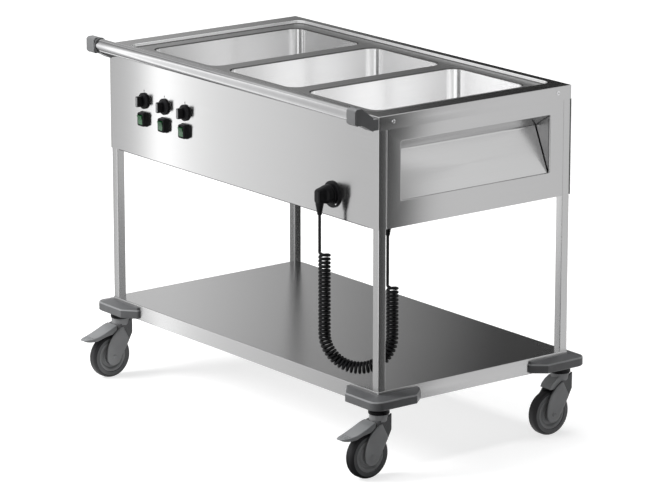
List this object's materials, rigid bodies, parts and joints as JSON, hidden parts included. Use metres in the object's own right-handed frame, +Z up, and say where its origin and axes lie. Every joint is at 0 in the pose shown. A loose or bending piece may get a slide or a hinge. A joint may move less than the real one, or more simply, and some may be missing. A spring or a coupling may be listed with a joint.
{
  "type": "mobile bain-marie food serving trolley",
  "caption": "Serving trolley with heated wells in a sheet steel body, lower shelf, push handle, corner bumpers, curly mains lead and swivel castors.",
  "frame": {"origin": "on the floor under the middle of the trolley's box, cord not counted", "axes": "+X along the body to the operator's right, +Y from the operator's side to the rear, +Z up"},
  "size_m": [1.3, 0.8196, 1.001],
  "materials": {
    "brushed_sheet": "fine brushed stainless sheet",
    "satin_steel": "bright deep-drawn stainless",
    "leg_steel": "brushed stainless tube",
    "polished_tube": "polished stainless tube",
    "grey_plastic": "fine-grained moulded plastic",
    "zinc": "plated",
    "pad_rubber": "silicone",
    "black_plastic": "moulded",
    "brass": "plain",
    "green_lens": "translucent green",
    "cord_rubber": "black rubber",
    "castor_plastic": "moulded polyamide",
    "tyre_rubber": "soft grey rubber",
    "pedal_plastic": "moulded"
  },
  "bodies": {
    "trolley": {"top_frame": "brushed_sheet", "deck": "brushed_sheet", "well_left": "satin_steel", "well_middle": "satin_steel", "well_right": "satin_steel", "front_panel": "brushed_sheet", "rear_panel": "brushed_sheet", "side_panel_left": "brushed_sheet", "side_panel_right": "brushed_sheet", "undertray": "brushed_sheet", "leg_front_left": "leg_steel", "leg_front_right": "leg_steel", "leg_rear_left": "leg_steel", "leg_rear_right": "leg_steel", "shelf": "brushed_sheet", "bumper_front_left": "grey_plastic", "bumper_front_right": "grey_plastic", "bumper_rear_left": "grey_plastic", "bumper_rear_right": "grey_plastic", "handle_tube": "polished_tube", "handle_bracket_left": "grey_plastic", "handle_bracket_right": "grey_plastic", "panel_screws": "zinc", "heating_pads": "pad_rubber", "thermostats": "black_plastic", "terminal_box": "black_plastic", "drain_outlets": "brass", "switch_housings": "black_plastic", "plug_holder": "black_plastic", "plug": "cord_rubber", "cord_lead_plug": "cord_rubber", "curly_cord": "cord_rubber", "cord_lead_body": "cord_rubber", "cable_gland": "cord_rubber", "castor_mounts": "leg_steel"},
    "castor_front_left": {"fork_front_left": "castor_plastic", "axle_front_left": "zinc"},
    "wheel_front_left": {"hub_front_left": "castor_plastic", "tyre_front_left": "tyre_rubber"},
    "castor_front_right": {"fork_front_right": "castor_plastic", "axle_front_right": "zinc"},
    "wheel_front_right": {"hub_front_right": "castor_plastic", "tyre_front_right": "tyre_rubber"},
    "castor_rear_left": {"fork_rear_left": "castor_plastic", "axle_rear_left": "zinc"},
    "wheel_rear_left": {"hub_rear_left": "castor_plastic", "tyre_rear_left": "tyre_rubber"},
    "castor_rear_right": {"fork_rear_right": "castor_plastic", "axle_rear_right": "zinc"},
    "wheel_rear_right": {"hub_rear_right": "castor_plastic", "tyre_rear_right": "tyre_rubber"},
    "pedal_left": {"brake_pedal_left": "pedal_plastic"},
    "pedal_right": {"brake_pedal_right": "pedal_plastic"},
    "knob_left": {"knob_left": "black_plastic"},
    "rocker_left": {"rocker_left": "green_lens"},
    "knob_middle": {"knob_middle": "black_plastic"},
    "rocker_middle": {"rocker_middle": "green_lens"},
    "knob_right": {"knob_right": "black_plastic"},
    "rocker_right": {"rocker_right": "green_lens"}
  },
  "joints": [
    {"name": "swivel_front_left", "type": "hinge", "parent": "trolley", "child": "castor_front_left", "pos_m": [-0.5975, -0.27375, 0.165], "axis": [0, 0, 1], "continuous": true},
    {"name": "roll_front_left", "type": "hinge", "parent": "castor_front_left", "child": "wheel_front_left", "pos_m": [-0.5975, -0.31375, 0.0625], "axis": [1, 0, 0], "continuous": true},
    {"name": "swivel_front_right", "type": "hinge", "parent": "trolley", "child": "castor_front_right", "pos_m": [0.5975, -0.27375, 0.165], "axis": [0, 0, 1], "continuous": true},
    {"name": "roll_front_right", "type": "hinge", "parent": "castor_front_right", "child": "wheel_front_right", "pos_m": [0.5975, -0.31375, 0.0625], "axis": [1, 0, 0], "continuous": true},
    {"name": "swivel_rear_left", "type": "hinge", "parent": "trolley", "child": "castor_rear_left", "pos_m": [-0.5975, 0.35725, 0.165], "axis": [0, 0, 1], "continuous": true},
    {"name": "roll_rear_left", "type": "hinge", "parent": "castor_rear_left", "child": "wheel_rear_left", "pos_m": [-0.5975, 0.31725, 0.0625], "axis": [1, 0, 0], "continuous": true},
    {"name": "swivel_rear_right", "type": "hinge", "parent": "trolley", "child": "castor_rear_right", "pos_m": [0.5975, 0.35725, 0.165], "axis": [0, 0, 1], "continuous": true},
    {"name": "roll_rear_right", "type": "hinge", "parent": "castor_rear_right", "child": "wheel_rear_right", "pos_m": [0.5975, 0.31725, 0.0625], "axis": [1, 0, 0], "continuous": true},
    {"name": "brake_left", "type": "hinge", "parent": "castor_front_left", "child": "pedal_left", "pos_m": [-0.5975, -0.31075, 0.157], "axis": [1, 0, 0], "range_deg": [0, 8]},
    {"name": "brake_right", "type": "hinge", "parent": "castor_front_right", "child": "pedal_right", "pos_m": [0.5975, -0.31075, 0.157], "axis": [1, 0, 0], "range_deg": [0, 8]},
    {"name": "turn_knob_left", "type": "hinge", "parent": "trolley", "child": "knob_left", "pos_m": [-0.444, -0.29825, 0.834], "axis": [0, 1, 0], "range_deg": [0, 300]},
    {"name": "switch_left", "type": "hinge", "parent": "trolley", "child": "rocker_left", "pos_m": [-0.444, -0.29825, 0.782], "axis": [1, 0, 0], "range_deg": [-18, 0]},
    {"name": "turn_knob_middle", "type": "hinge", "parent": "trolley", "child": "knob_middle", "pos_m": [-0.346, -0.29825, 0.834], "axis": [0, 1, 0], "range_deg": [0, 300]},
    {"name": "switch_middle", "type": "hinge", "parent": "trolley", "child": "rocker_middle", "pos_m": [-0.346, -0.29825, 0.782], "axis": [1, 0, 0], "range_deg": [-18, 0]},
    {"name": "turn_knob_right", "type": "hinge", "parent": "trolley", "child": "knob_right", "pos_m": [-0.248, -0.29825, 0.834], "axis": [0, 1, 0], "range_deg": [0, 300]},
    {"name": "switch_right", "type": "hinge", "parent": "trolley", "child": "rocker_right", "pos_m": [-0.248, -0.29825, 0.782], "axis": [1, 0, 0], "range_deg": [-18, 0]}
  ]
}
